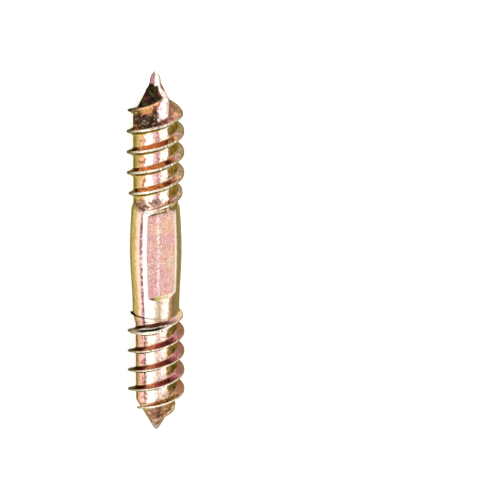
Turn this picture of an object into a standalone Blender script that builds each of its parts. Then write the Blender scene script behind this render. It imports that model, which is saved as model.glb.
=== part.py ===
"""A dowel screw: a headless steel screw with a wood thread on each end and two wrench flats.

Everything is modelled upright, round the screw's own axis, with Z along the axis and the origin
at mid length. An empty then lays the screw down as it comes to rest: axis along Y, flats level.
"""
import math
from collections import namedtuple

import bmesh
import bpy

# The whole screw, in metres
LENGTH = 0.050
THREAD_RADIUS = 0.0038
THREAD_STARTS = 2

# Top end, measured from its tip
TOP_POINT_RADIUS = 0.00070
TOP_POINT_LENGTH = 0.0015
TOP_CONE_ANGLE = math.radians(26.6)
TOP_CORE_RADIUS = 0.00295
TOP_LEAD = 0.005676
TOP_CREST_WIDTH = 0.00030
TOP_ROOT_WIDTH = 0.0013
TOP_FLANK_FULLNESS = 0.50
TOP_THREAD_FROM = 0.0026
TOP_CREST_FULL_FROM = 0.0056
TOP_CREST_CURVE = 0.82
TOP_CORE_LENGTH = 0.0184
TOP_SHOULDER_LENGTH = 0.0006
TOP_THREAD_PAST_CORE = 0.00077
TOP_END_ANGLE = math.radians(186)
TOP_END_STAGGER = 0.0
TOP_RUNOUT_TURNS = 0.56
TOP_RUNOUT_CURVE = 1.5

# Bottom end, measured from its tip
BOTTOM_POINT_RADIUS = 0.00028
BOTTOM_POINT_LENGTH = 0.00015
BOTTOM_CONE_ANGLE = math.radians(29.4)
BOTTOM_CORE_RADIUS = 0.00272
BOTTOM_LEAD = 0.00542
BOTTOM_CREST_WIDTH = 0.00016
BOTTOM_ROOT_WIDTH = 0.0011
BOTTOM_FLANK_FULLNESS = 0.40
BOTTOM_THREAD_FROM = 0.0007
BOTTOM_CREST_FULL_FROM = 0.0056
BOTTOM_CREST_CURVE = 1.4
BOTTOM_CORE_LENGTH = 0.01585
BOTTOM_SHOULDER_LENGTH = 0.0013
BOTTOM_THREAD_PAST_CORE = 0.0006
BOTTOM_END_ANGLE = math.radians(146)
BOTTOM_END_STAGGER = math.radians(40)
BOTTOM_RUNOUT_TURNS = 0.12
BOTTOM_RUNOUT_CURVE = 0.7

# Thin fin that the bottom thread's rolling left standing at the shank's edge
FIN_HEIGHT = 0.00036
FIN_WIDTH = 0.00012
FIN_TURNS = 0.32
FIN_TURNS_PAST_END = 0.01

# Shank between the threads, squeezed flat on two sides and so spread across them
SHANK_TOP_RADIUS = 0.00316
SHANK_BOTTOM_RADIUS = 0.00312
SPREAD_WIDTH = 0.00692
SPREAD_PAST_FLATS = 0.0021
ACROSS_FLATS = 0.0051
FLAT_FROM_TOP_SHOULDER = 0.00017
FLAT_FROM_BOTTOM_SHOULDER = 0.0033
FLAT_WALL_DRAFT = math.radians(42)
FLAT_TOP_SLANT = math.radians(5.4)
FLAT_BOTTOM_SLANT = math.radians(9)

# Shape and fineness of the facets; the point's corners are shares of its radius and length
POINT_CORNERS = ((0.0, 0.0), (0.55, 0.12), (0.88, 0.45), (1.0, 1.0))
CORE_FACETS = 48
THREAD_FACETS = 24
SHANK_RINGS = 14
ROOT_DEPTH = 0.00025
FLANK_RING = 0.35
PRESS_REACH = 2 * SHANK_TOP_RADIUS

STEEL_COLOR = (0.70, 0.53, 0.30, 1.0)

End = namedtuple(
    "End",
    "side point_radius point_length cone_angle core_radius lead crest_width root_width fullness"
    " thread_from crest_full_from crest_curve core_length shoulder_length thread_end end_angle"
    " end_stagger runout_turns runout_curve shank_radius",
)

TOP = End(
    1, TOP_POINT_RADIUS, TOP_POINT_LENGTH, TOP_CONE_ANGLE, TOP_CORE_RADIUS, TOP_LEAD,
    TOP_CREST_WIDTH, TOP_ROOT_WIDTH, TOP_FLANK_FULLNESS, TOP_THREAD_FROM, TOP_CREST_FULL_FROM,
    TOP_CREST_CURVE, TOP_CORE_LENGTH, TOP_SHOULDER_LENGTH, TOP_CORE_LENGTH + TOP_THREAD_PAST_CORE,
    TOP_END_ANGLE, TOP_END_STAGGER, TOP_RUNOUT_TURNS, TOP_RUNOUT_CURVE, SHANK_TOP_RADIUS,
)
BOTTOM = End(
    -1, BOTTOM_POINT_RADIUS, BOTTOM_POINT_LENGTH, BOTTOM_CONE_ANGLE, BOTTOM_CORE_RADIUS,
    BOTTOM_LEAD, BOTTOM_CREST_WIDTH, BOTTOM_ROOT_WIDTH, BOTTOM_FLANK_FULLNESS,
    BOTTOM_THREAD_FROM, BOTTOM_CREST_FULL_FROM, BOTTOM_CREST_CURVE, BOTTOM_CORE_LENGTH,
    BOTTOM_SHOULDER_LENGTH, BOTTOM_CORE_LENGTH + BOTTOM_THREAD_PAST_CORE, BOTTOM_END_ANGLE,
    BOTTOM_END_STAGGER, BOTTOM_RUNOUT_TURNS, BOTTOM_RUNOUT_CURVE, SHANK_BOTTOM_RADIUS,
)


def clear_scene():
    for obj in list(bpy.data.objects):
        bpy.data.objects.remove(obj, do_unlink=True)


def make_collection(name, parent, shown):
    collection = bpy.data.collections.new(name)
    parent.children.link(collection)
    collection.hide_render = not shown
    return collection


def steel_material():
    material = bpy.data.materials.new("yellow_zinc_steel")
    material.use_nodes = True
    shader = material.node_tree.nodes["Principled BSDF"]
    shader.inputs["Base Color"].default_value = STEEL_COLOR
    shader.inputs["Metallic"].default_value = 1.0
    shader.inputs["Roughness"].default_value = 0.28
    return material


def object_from(name, mesh, collection, parent):
    obj = bpy.data.objects.new(name, mesh)
    obj.parent = parent
    collection.objects.link(obj)
    return obj


def hide_as_cutter(obj):
    obj.hide_render = True
    obj.display_type = "WIRE"


def axial(end, distance):
    """The Z of a place that lies this far from the end's tip."""
    return end.side * (LENGTH / 2 - distance)


def from_tip(end, z):
    return LENGTH / 2 - end.side * z


def cone_length(end):
    """How far from the tip the cone reaches the full core radius."""
    rise = end.core_radius - end.point_radius
    return end.point_length + rise / math.tan(end.cone_angle)


def core_radius(end, distance):
    """Radius of the bare core at a distance from the tip, with no point or shoulder."""
    if distance >= cone_length(end):
        return end.core_radius
    along_cone = max(distance - end.point_length, 0)
    return end.point_radius + along_cone * math.tan(end.cone_angle)


def crest_radius(end, distance, turns_left):
    """Radius of the thread's crest: it climbs off the cone at the tip and dies away at the shank."""
    start_radius = core_radius(end, end.thread_from) - ROOT_DEPTH / 2
    full_stretch = end.crest_full_from - end.thread_from
    missing = min(max(end.crest_full_from - distance, 0) / full_stretch, 1)
    radius = start_radius + (THREAD_RADIUS - start_radius) * (1 - missing**end.crest_curve)
    runout = min(max(turns_left / end.runout_turns, 0), 1)
    end_radius = end.shank_radius - ROOT_DEPTH / 2
    return min(radius, end_radius + (THREAD_RADIUS - end_radius) * runout**end.runout_curve)


def end_profile(end):
    """(radius, Z) from the tip to the shank, with the point rounded off."""
    outline = [(r * end.point_radius, d * end.point_length) for r, d in POINT_CORNERS]
    outline.append((end.core_radius, cone_length(end)))
    outline.append((end.core_radius, end.core_length - end.shoulder_length / 2))
    outline.append((end.shank_radius, end.core_length + end.shoulder_length / 2))
    return [(radius, axial(end, distance)) for radius, distance in outline]


def flat_ends():
    """Z of the flats' upper and lower ends."""
    top_shoulder = axial(TOP, TOP.core_length + TOP.shoulder_length / 2)
    bottom_shoulder = axial(BOTTOM, BOTTOM.core_length + BOTTOM.shoulder_length / 2)
    return top_shoulder - FLAT_FROM_TOP_SHOULDER, bottom_shoulder + FLAT_FROM_BOTTOM_SHOULDER


def spread_at(z):
    """How much wider than round the shank is here, as a share of its radius."""
    top, bottom = flat_ends()
    middle = (top + bottom) / 2
    reach = (top - bottom) / 2 + SPREAD_PAST_FLATS
    share = min(abs(z - middle) / reach, 1)
    mean_radius = (SHANK_TOP_RADIUS + SHANK_BOTTOM_RADIUS) / 2
    most = SPREAD_WIDTH / 2 / mean_radius - 1
    return most * (1 - share**2) ** 2 if share < 1 else 0.0


def turned_blank(parent, helpers):
    """Core, cones, points and shank as one turned body, then spread where the press squeezed it."""
    top, bottom = end_profile(TOP), end_profile(BOTTOM)
    (top_radius, top_z), (bottom_radius, bottom_z) = top[-1], bottom[-1]
    rings = []
    for i in range(1, SHANK_RINGS):
        share = i / SHANK_RINGS
        radius = top_radius + (bottom_radius - top_radius) * share
        rings.append((radius, top_z + (bottom_z - top_z) * share))
    outline = top + rings + bottom[::-1]

    turn = math.pi / CORE_FACETS
    points = [(r * math.cos(turn), r * math.sin(turn), z) for r, z in outline]
    edges = [(i, i + 1) for i in range(len(points) - 1)]
    profile = bpy.data.meshes.new("blank_profile")
    profile.from_pydata(points, edges, [])
    turned = object_from("blank_profile", profile, helpers, parent)
    screw = turned.modifiers.new("turn", "SCREW")
    screw.axis = "Z"
    screw.steps = screw.render_steps = CORE_FACETS
    screw.use_merge_vertices = True
    screw.merge_threshold = 0.000001
    bpy.context.view_layer.update()
    mesh = bpy.data.meshes.new_from_object(turned.evaluated_get(bpy.context.evaluated_depsgraph_get()))
    bpy.data.objects.remove(turned, do_unlink=True)
    for vertex in mesh.vertices:
        vertex.co.x *= 1 + spread_at(vertex.co.z)
    return mesh


def ridge_section(end, z, crest):
    """(radius, Z) round the ridge's section, from its root towards the top to the other root."""
    core = core_radius(end, from_tip(end, z))
    height = crest - core
    share = max(height, 0) / (THREAD_RADIUS - end.core_radius)
    half_crest = end.crest_width / 2
    half_root = half_crest + (end.root_width / 2 - half_crest) * min(share, 1)
    half_flank = half_crest + (half_root - half_crest) * end.fullness
    half_base = half_root + ROOT_DEPTH / 2
    flank = crest - (1 - FLANK_RING) * max(height, ROOT_DEPTH / 3)

    def root(offset):
        surface = core_radius(end, from_tip(end, z + offset))
        return min(surface - ROOT_DEPTH, flank - ROOT_DEPTH / 3)

    section = [
        (root(half_base), half_base),
        (flank, half_flank),
        (crest, half_crest),
        (crest, -half_crest),
        (flank, -half_flank),
        (root(-half_base), -half_base),
    ]
    return [(radius, z + offset) for radius, offset in section]


def loft(name, sections, angles):
    """A closed solid through sections that stand in radial planes at the given angles."""
    bm = bmesh.new()
    rings = []
    for section, angle in zip(sections, angles):
        cos, sin = math.cos(angle), math.sin(angle)
        rings.append([bm.verts.new((r * cos, r * sin, z)) for r, z in section])
    count = len(rings[0])
    for before, after in zip(rings, rings[1:]):
        for i in range(count):
            j = (i + 1) % count
            bm.faces.new((before[i], before[j], after[j], after[i]))
    bm.faces.new(rings[0][::-1])
    bm.faces.new(rings[-1])
    bmesh.ops.recalc_face_normals(bm, faces=bm.faces)
    mesh = bpy.data.meshes.new(name)
    bm.to_mesh(mesh)
    bm.free()
    return mesh


def thread_ridge(name, end, start):
    """One start of an end's thread: a ridge on a right-hand helix, from the tip to its run-out.

    Each further start runs on past the one before it by the end's stagger.
    """
    step = 2 * math.pi / THREAD_FACETS
    extra_turns = start * end.end_stagger / (2 * math.pi)
    thread_end = end.thread_end + end.lead * extra_turns
    end_z = axial(end, thread_end)
    end_angle = end.end_angle + start * 2 * math.pi / THREAD_STARTS
    end_angle -= end.side * extra_turns * 2 * math.pi
    turns = (thread_end - end.thread_from) / end.lead
    low = end_angle if end.side > 0 else end_angle - turns * 2 * math.pi
    first = math.ceil(low / step - 0.5)
    count = math.floor(turns * THREAD_FACETS)
    sections, angles = [], []
    for i in range(first, first + count + 1):
        angle = (i + 0.5) * step
        gone = (angle - end_angle) / (2 * math.pi)
        z = end_z + end.lead * gone
        crest = crest_radius(end, from_tip(end, z), abs(gone))
        sections.append(ridge_section(end, z, crest))
        angles.append(angle)
    return loft(name, sections, angles)


def edge_fin(name):
    """The fin: it stands highest where the bottom thread ends and follows the shank's edge."""
    steps = round(FIN_TURNS * CORE_FACETS)
    shank_edge = axial(BOTTOM, BOTTOM.core_length + BOTTOM.shoulder_length / 2)
    inner = SHANK_BOTTOM_RADIUS - ROOT_DEPTH
    sections, angles = [], []
    for i in range(steps + 1):
        share = i / steps
        outer = SHANK_BOTTOM_RADIUS - ROOT_DEPTH / 2 + (FIN_HEIGHT + ROOT_DEPTH / 2) * (1 - share)
        half = FIN_WIDTH / 2
        sections.append(
            [(inner, shank_edge + half), (outer, shank_edge), (inner, shank_edge - half)]
        )
        turns = share * FIN_TURNS + FIN_TURNS_PAST_END
        angles.append(BOTTOM_END_ANGLE + turns * 2 * math.pi)
    return loft(name, sections, angles)


def press_cutter(name, side):
    """What the press takes from one side: a block whose end walls lean outwards."""
    floor = ACROSS_FLATS / 2
    top, bottom = flat_ends()
    lean = (PRESS_REACH - floor) * math.tan(FLAT_WALL_DRAFT)
    bm = bmesh.new()
    bmesh.ops.create_cube(bm, size=2)
    for vertex in bm.verts:
        across, out, up = vertex.co
        beyond = lean if out > 0 else 0
        width = across * PRESS_REACH
        y = PRESS_REACH if out > 0 else floor
        if up > 0:
            z = top + beyond + width * math.tan(FLAT_TOP_SLANT)
        else:
            z = bottom - beyond + width * math.tan(FLAT_BOTTOM_SLANT)
        vertex.co = (side * width, side * y, z) if side > 0 else (width, side * y, z)
    bmesh.ops.recalc_face_normals(bm, faces=bm.faces)
    mesh = bpy.data.meshes.new(name)
    bm.to_mesh(mesh)
    bm.free()
    return mesh


def add_boolean(target, solids, operation):
    """Joins a collection's solids to the target, or cuts them from it, in one exact step."""
    modifier = target.modifiers.new(solids.name, "BOOLEAN")
    modifier.operation = operation
    modifier.solver = "EXACT"
    modifier.operand_type = "COLLECTION"
    modifier.collection = solids


def build():
    clear_scene()
    shown = make_collection("dowel_screw", bpy.context.scene.collection, True)
    helpers = make_collection("cutters", bpy.context.scene.collection, False)
    ridges = make_collection("ridges", helpers, False)
    presses = make_collection("presses", helpers, False)

    rest = bpy.data.objects.new("rest_frame", None)
    rest.location.z = THREAD_RADIUS * math.cos(math.pi / THREAD_FACETS)
    rest.rotation_euler.x = -math.pi / 2
    shown.objects.link(rest)

    screw = object_from("dowel_screw", turned_blank(rest, helpers), shown, rest)
    screw.data.name = "dowel_screw"
    screw.data.materials.append(steel_material())

    for label, end in (("top", TOP), ("bottom", BOTTOM)):
        for start in range(THREAD_STARTS):
            name = f"{label}_thread_{start + 1}"
            hide_as_cutter(object_from(name, thread_ridge(name, end, start), ridges, rest))
    hide_as_cutter(object_from("edge_fin", edge_fin("edge_fin"), ridges, rest))
    add_boolean(screw, ridges, "UNION")

    for label, side in (("front", -1), ("back", 1)):
        name = f"{label}_press"
        hide_as_cutter(object_from(name, press_cutter(name, side), presses, rest))
    add_boolean(screw, presses, "DIFFERENCE")

    screw.data.shade_smooth()
    screw.data.set_sharp_from_angle(angle=math.radians(35))


build()
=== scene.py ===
import math
from collections import namedtuple

import bpy
import numpy as np
from mathutils import Matrix, Vector


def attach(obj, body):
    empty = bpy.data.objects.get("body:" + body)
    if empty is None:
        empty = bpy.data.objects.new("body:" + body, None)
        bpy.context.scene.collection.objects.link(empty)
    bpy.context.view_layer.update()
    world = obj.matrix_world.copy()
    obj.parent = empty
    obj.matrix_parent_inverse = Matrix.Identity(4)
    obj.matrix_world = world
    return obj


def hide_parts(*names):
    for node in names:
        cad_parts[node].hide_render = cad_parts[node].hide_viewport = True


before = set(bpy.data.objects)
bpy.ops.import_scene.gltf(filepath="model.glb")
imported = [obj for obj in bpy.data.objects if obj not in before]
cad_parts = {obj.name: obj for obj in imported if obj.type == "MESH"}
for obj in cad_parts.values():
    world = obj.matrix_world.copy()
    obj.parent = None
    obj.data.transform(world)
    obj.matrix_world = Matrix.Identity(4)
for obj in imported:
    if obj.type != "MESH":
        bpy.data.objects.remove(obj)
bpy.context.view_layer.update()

# The screw is one fine mesh, worked out upright in millimetres: Z along the axis from mid
# length to the top tip, and the flats' normals along -Y and +Y. Then it is laid down.
MM = 0.001
AXIS_HEIGHT = 0.0037675
HALF_LENGTH = 25.0
THREAD_RADIUS = 3.8
THREAD_STARTS = 2
ANGLES = 176

# Keeps a division away from zero
TINY = 0.001

# Radius of the core and shank at a distance along the axis, from the top tip downwards
CORE_OUTLINE = (
    (25.0, 0.0), (24.97, 0.12), (24.86, 0.27), (24.44, 0.54), (24.03, 0.68), (23.5, 0.74),
    (23.1, 0.86), (22.63, 1.1), (21.5, 1.66), (20.4, 2.21), (19.0, 2.95), (6.9, 2.95),
    (6.3, 3.16), (-8.2, 3.12), (-8.9, 2.96), (-9.8, 2.72), (-20.55, 2.72), (-24.75, 0.34),
    (-24.9, 0.22), (-24.97, 0.12), (-25.0, 0.0),
)
OUTLINE_ROUNDING = 0.12
OUTLINE_SAMPLES = 9

# Rows of vertices across half a thread, as distances from the crest's middle, and how far
# from halfway the single row between two threads lies
TOP_ROWS = (0.0, 0.07, 0.13, 0.17, 0.21, 0.26, 0.32, 0.39, 0.47, 0.56, 0.67, 0.8, 0.97, 1.17)
BOTTOM_ROWS = (0.0, 0.03, 0.06, 0.09, 0.13, 0.18, 0.24, 0.31, 0.39, 0.48, 0.59, 0.73, 0.9, 1.1)
MIDWAY_SHIFT = 0.02

# The thread at one end. Its side is 1 at the top and -1 at the bottom, its distances start at
# the end's own tip, and its band is the stretch of z whose vertices follow the helix.
End = namedtuple(
    "End",
    "side lead crest_width root_width flank_power thread_from full_from rise_curve start_radius"
    " thread_end end_angle stagger runout_turns runout_curve runout_radius row_offsets band",
)
TOP = End(
    side=1,
    lead=5.676,
    crest_width=0.28,
    root_width=1.3,
    flank_power=1.5,
    thread_from=2.6,
    full_from=5.6,
    rise_curve=0.82,
    start_radius=1.16,
    thread_end=19.17,
    end_angle=math.radians(186),
    stagger=0.0,
    runout_turns=0.56,
    runout_curve=1.5,
    runout_radius=3.0,
    row_offsets=TOP_ROWS,
    band=(4.9, 23.0),
)
BOTTOM = End(
    side=-1,
    lead=5.42,
    crest_width=0.16,
    root_width=1.1,
    flank_power=1.9,
    thread_from=0.7,
    full_from=5.6,
    rise_curve=1.4,
    start_radius=0.45,
    thread_end=16.45,
    end_angle=math.radians(146),
    stagger=math.radians(40),
    runout_turns=0.12,
    runout_curve=0.7,
    runout_radius=2.9,
    row_offsets=BOTTOM_ROWS,
    band=(-24.5, -6.9),
)
CREST_ROUNDING = 0.07
TIP_CREST_EXTRA = 0.1
FLANK_OVERSHOOT = 2

# Level rows: how many over each tip, and from z, to z and how many along the shank, where they
# are closest over the flats' lower walls
TIP_ROWS = 22
SHANK_ROWS = ((BOTTOM.band[1], -6.1, 5), (-6.0, -5.0, 14), (-4.85, TOP.band[0], 42))

# The bottom thread's second start ends in a crest that its rolling left split into two lips
SPLIT_FROM_END = (0.2, 0.3, 0.4, 0.54)
SPLIT_HALF_SPREAD = 0.34
SPLIT_ROOT_SPREAD = 0.3
SPLIT_DEPTH = 0.34
SPLIT_OFFSET = 0.17
SPLIT_HALF_WIDTH = 0.2

# Just before the split that crest lies a little nearer the shank than its helix
LIFT_FROM_END = (0.34, 0.5, 0.74, 0.95)
LIFT = 0.16

# Shank: squeezed flat on two sides and so spread across them
SHANK_RADIUS = 3.14
SPREAD_WIDTH = 6.92
SPREAD_REACH = 7.77
FLAT_HALF_GAP = 2.55
FLAT_TOP = 6.13
FLAT_BOTTOM = -5.2
FLAT_WALL_DRAFT = math.radians(42)
FLAT_TOP_SLANT = math.radians(5.4)
FLAT_BOTTOM_SLANT = math.radians(9)
FLAT_ROUNDING = 0.16
PRESS_REACH = 9.0

# The thin fin that the bottom thread's rolling left at the shank's edge
FIN_Z = -8.27
FIN_HEIGHT = 0.36
FIN_HALF_WIDTH = 0.035
FIN_TURNS = 0.31
FIN_TURNS_PAST_END = 0.04
FIN_STEPS = 60
FIN_ROOT_DEPTH = 0.1
FIN_EDGE_DEPTH = 0.05
FIN_FADING = 0.4

# The side that the camera sees and the tints are placed by, this far round from the flats' normal
VIEW_TURN = math.radians(19.0)

# Dark mottled stains in the plating: z, place round the screw, reach along z and round, strength
STAINS = (
    (18.75, 0.25, 1.5, 0.44, 1.0), (7.2, 0.21, 1.0, 0.26, 1.0), (7.9, 0.46, 0.8, 0.3, 0.75),
    (19.7, 0.49, 1.5, 0.13, 0.85), (-22.3, 0.54, 1.1, 0.22, 0.45),
    (6.75, 0.75, 0.6, 0.24, 0.6),
)

# Golden patches near the bottom tip, given in the same way: flaky plating, with a painted
# highlight along the thread's flank there
FLAKES_AND_HIGHLIGHTS = ((-19.65, 0.78, 1.1, 0.24, 1.0), (-21.7, 0.72, 0.7, 0.1, 0.7))

# A patch is whole up to a third of its reach and fades out over the rest
PATCH_FULLNESS = 1.5

# The cone's own tints start at its first thread, this high at the left and rising to the right
CONE_TINT_FROM = 19.75
CONE_TINT_RISE = 2.84
CONE_BORDER = 0.25

# Tints that fade in along the axis: the z where each starts and its reach, negative if downwards
BOTTOM_TINTS_FADE = (0.5, -1.0)
# The painted dark reflection line fades in below the top thread
REFLECTION_LINE_FADE = (7.5, -3.0)
NUB_FADE = (22.9, 0.9)
LOW_START_FADE = (-18.4, -1.2)
LOW_CONE_FADE = (-20.4, -0.5)
LOW_TIP_FADE = (-23.9, -0.5)

# Near the cone the tints are shifted round the screw: how far, and where that fades in
CONE_TINT_SHIFT = 0.1
CONE_SHIFT_FADE = (22.6, -1.0)
GAP_TINT_SHIFT = 0.16
GAP_SHIFT_FADE = (19.7, 1.7)

# Stains and the flaky patches with their painted highlight keep to the side that faces the camera
FRONT_FADE = (0.3, 0.3)

# Tinted regions of the threads: widths in millimetres and shares of the root's width
CREST_BORDER = 0.05
CREST_GROWTH = 1.5
FLANK_BORDER = 0.15
FLANK_GROWTH = 2.5
FLANK_SHARE = 1.05
# Painted highlight line along the thread roots
ROOT_LINE_SHARE = 1.08
ROOT_LINE_HALF_WIDTH = 0.07
# Painted highlight line just under each crest of the top thread
FOOT_LINE_SHARE = 1.06
FOOT_LINE_HALF_WIDTH = 0.06
# The split's groove, and the flank beside it, are darkened with painted shade
SPLIT_TINT_REACH = 1.5
SPLIT_FLANK_SHADE = 0.85
RUNOUT_TINT_TURNS = (0.12, 0.27)

# Tinted regions of the shank and its flats
SHANK_MIDDLE = -1.05
SHANK_FADE = (7.3, 0.8)
FLAT_FADE = (-0.08, 0.1)
WALL_BORDER = 0.05
WALL_SIDE_FADE = (-0.05, 0.1)
# Reach of the painted highlight along a flat's right edge
FLAT_EDGE_REACH = 0.13
FLAT_STREAK_X = -0.47
FLAT_STREAK_HALF_WIDTH = 0.16


def smooth_min(a, b, reach):
    """The lesser of two surfaces, with the corner where they meet rounded off."""
    share = np.clip(0.5 + 0.5 * (b - a) / reach, 0, 1)
    return b * (1 - share) + a * share - reach * share * (1 - share)


def fade(value, start, reach):
    """A share that is 0 up to the start and grows to 1 over the reach."""
    return np.clip((value - start) / reach, 0, 1)


def line_at(value, place, half_width):
    """A share that is 1 on a line and falls off softly on both sides."""
    return np.exp(-(((value - place) / half_width) ** 2))


def core_at(z):
    """Radius of the core or shank at z, its outline's corners rounded off a little."""
    heights = [point[0] for point in CORE_OUTLINE][::-1]
    radii = [point[1] for point in CORE_OUTLINE][::-1]
    near_tip = np.clip((HALF_LENGTH - np.abs(z)) / OUTLINE_ROUNDING, 0, 1)
    total = np.zeros_like(z)
    for offset in np.linspace(-1, 1, OUTLINE_SAMPLES):
        total += np.interp(z + offset * OUTLINE_ROUNDING * near_tip, heights, radii)
    return total / OUTLINE_SAMPLES


def spread_at(z):
    """How much wider than round the shank is at z, as a share of its radius."""
    middle = (FLAT_TOP + FLAT_BOTTOM) / 2
    share = np.clip(np.abs(z - middle) / SPREAD_REACH, 0, 1)
    return (SPREAD_WIDTH / 2 / SHANK_RADIUS - 1) * (1 - share**2) ** 2


# The thread at a point: its rise over the core, the signed distance from its crest, the crest's
# height as a share of the full one, the turns left before its start ends, and how far it is split
Thread = namedtuple("Thread", "rise offset share turns_left split")


def thread_at(end, angle, z, core):
    """The thread of one end at each point, round the given core."""
    pitch = end.lead / THREAD_STARTS
    end_z = end.side * (HALF_LENGTH - end.thread_end)
    helix = end_z + end.lead * (angle - end.end_angle) / (2 * math.pi)
    order = np.round((z - helix) / pitch)
    crest_z = helix + order * pitch
    distance = HALF_LENGTH - end.side * crest_z
    second = order % THREAD_STARTS
    last = end.thread_end + end.lead * end.stagger / (2 * math.pi) * second
    turns_left = (last - distance) / end.lead

    missing = np.clip((end.full_from - distance) / (end.full_from - end.thread_from), 0, 1)
    tip = end.start_radius + (THREAD_RADIUS - end.start_radius) * (1 - missing**end.rise_curve)
    gone = np.clip(turns_left / end.runout_turns, 0, 1)
    runout = end.runout_radius + (THREAD_RADIUS - end.runout_radius) * gone**end.runout_curve
    crest = np.where(distance < end.thread_from, 0, np.minimum(tip, runout))
    crest = np.where(distance > last, 0, crest)

    is_split = (end.side < 0) * second
    split = np.interp(turns_left, SPLIT_FROM_END, (0, 1, 1, 0)) * is_split
    offset = z - crest_z - LIFT * np.interp(turns_left, LIFT_FROM_END, (0, 1, 1, 0)) * is_split
    height = np.maximum(crest - core, 0)
    share = np.clip(height / (THREAD_RADIUS - core), 0, 1)
    half_crest = end.crest_width / 2 + TIP_CREST_EXTRA * missing + SPLIT_HALF_SPREAD * split
    half_root = half_crest + (end.root_width / 2 - half_crest) * share + TINY
    half_root += SPLIT_ROOT_SPREAD * split
    along_flank = (half_root - np.abs(offset)) / (half_root - half_crest)
    flank = height * np.clip(along_flank, 0, FLANK_OVERSHOOT) ** end.flank_power
    rise = np.maximum(smooth_min(flank, height, CREST_ROUNDING * share + TINY), 0)
    groove = np.clip(1 - np.abs(offset - SPLIT_OFFSET) / SPLIT_HALF_WIDTH, 0, 1)
    rise -= split * SPLIT_DEPTH * groove
    return Thread(np.maximum(rise, 0), offset, share, turns_left, split)


def pressed(x, y, z):
    """Y with the flats pressed in, the rise up their end walls, and Y's excess over the press."""
    climb = 1 / math.tan(FLAT_WALL_DRAFT)
    top_edge = FLAT_TOP + x * math.tan(FLAT_TOP_SLANT)
    bottom_edge = FLAT_BOTTOM + x * math.tan(FLAT_BOTTOM_SLANT)
    wall = np.maximum(np.maximum(z - top_edge, bottom_edge - z), 0) * climb
    limit = FLAT_HALF_GAP + wall
    flattened = smooth_min(np.abs(y), limit, FLAT_ROUNDING)
    pressed_y = np.sign(y) * np.where(np.abs(z) < PRESS_REACH, flattened, np.abs(y))
    return pressed_y, wall, np.abs(y) - limit


def patches(places, z, around):
    """How far each point lies within soft-edged oval patches of the plating."""
    share = np.zeros_like(z)
    for patch_z, place, reach_z, reach_around, strength in places:
        gone = np.hypot((z - patch_z) / reach_z, (around - place) / reach_around)
        share = np.maximum(share, strength * np.clip(PATCH_FULLNESS * (1 - gone), 0, 1))
    return share


def thread_regions(thread, z, around):
    """How far each point belongs to a crest, a flank, the painted highlight lines beside them or
    the split with its painted shade.
    """
    upper = z > 0
    offset, share, split = thread.offset, thread.share, thread.split
    half_crest = np.where(upper, TOP.crest_width, BOTTOM.crest_width) / 2
    half_root = np.where(upper, TOP.root_width, BOTTOM.root_width) / 2
    half_root = half_root + SPLIT_ROOT_SPREAD * split
    off_groove = np.abs(offset - SPLIT_OFFSET) / SPLIT_HALF_WIDTH
    in_split = split * np.clip(SPLIT_TINT_REACH - off_groove, 0, 1)
    near = 1 - fade(np.abs(offset), half_crest + SPLIT_HALF_SPREAD * split, CREST_BORDER)
    on_flank = fade(np.abs(offset), half_root * FLANK_SHARE, -FLANK_BORDER) * (1 - near)
    on_flank = on_flank * np.clip(share * FLANK_GROWTH, 0, 1)
    root_highlight = line_at(offset, half_root * ROOT_LINE_SHARE, ROOT_LINE_HALF_WIDTH)
    foot_highlight = line_at(offset, -half_root * FOOT_LINE_SHARE, FOOT_LINE_HALF_WIDTH)
    return {
        "crest": near * np.clip(share * CREST_GROWTH, 0, 1) * (1 - in_split),
        "upward_flank": on_flank * (offset > 0),
        "downward_flank": on_flank * (offset < 0),
        "flank_root": fade(np.abs(offset), half_crest, half_root - half_crest),
        "root_highlight": root_highlight * share * (1 + around) / 2,
        "foot_highlight": foot_highlight * share * upper,
        "split": np.maximum(in_split, SPLIT_FLANK_SHADE * split * on_flank * (offset > 0)),
        "runout": 1 - np.interp(thread.turns_left, RUNOUT_TINT_TURNS, (0, 1)),
    }


def shank_regions(x, z, wall, past_edge):
    """How far each point belongs to the shank, a flat, its end walls, the painted highlight on
    its right edge or its streak.
    """
    on_shank = 1 - fade(np.abs(z - SHANK_MIDDLE), *SHANK_FADE)
    below_walls = wall < WALL_BORDER
    edge = np.clip(1 - np.abs(past_edge) / FLAT_EDGE_REACH, 0, 1)
    return {
        "shank": on_shank,
        "flat": fade(past_edge, *FLAT_FADE) * below_walls,
        "flat_edge_highlight": edge * on_shank * below_walls * (x > 0),
        "flat_streak": line_at(x, FLAT_STREAK_X, FLAT_STREAK_HALF_WIDTH),
        "wall": fade(wall, 0, WALL_BORDER) * fade(past_edge, *WALL_SIDE_FADE) * on_shank,
    }


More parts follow.
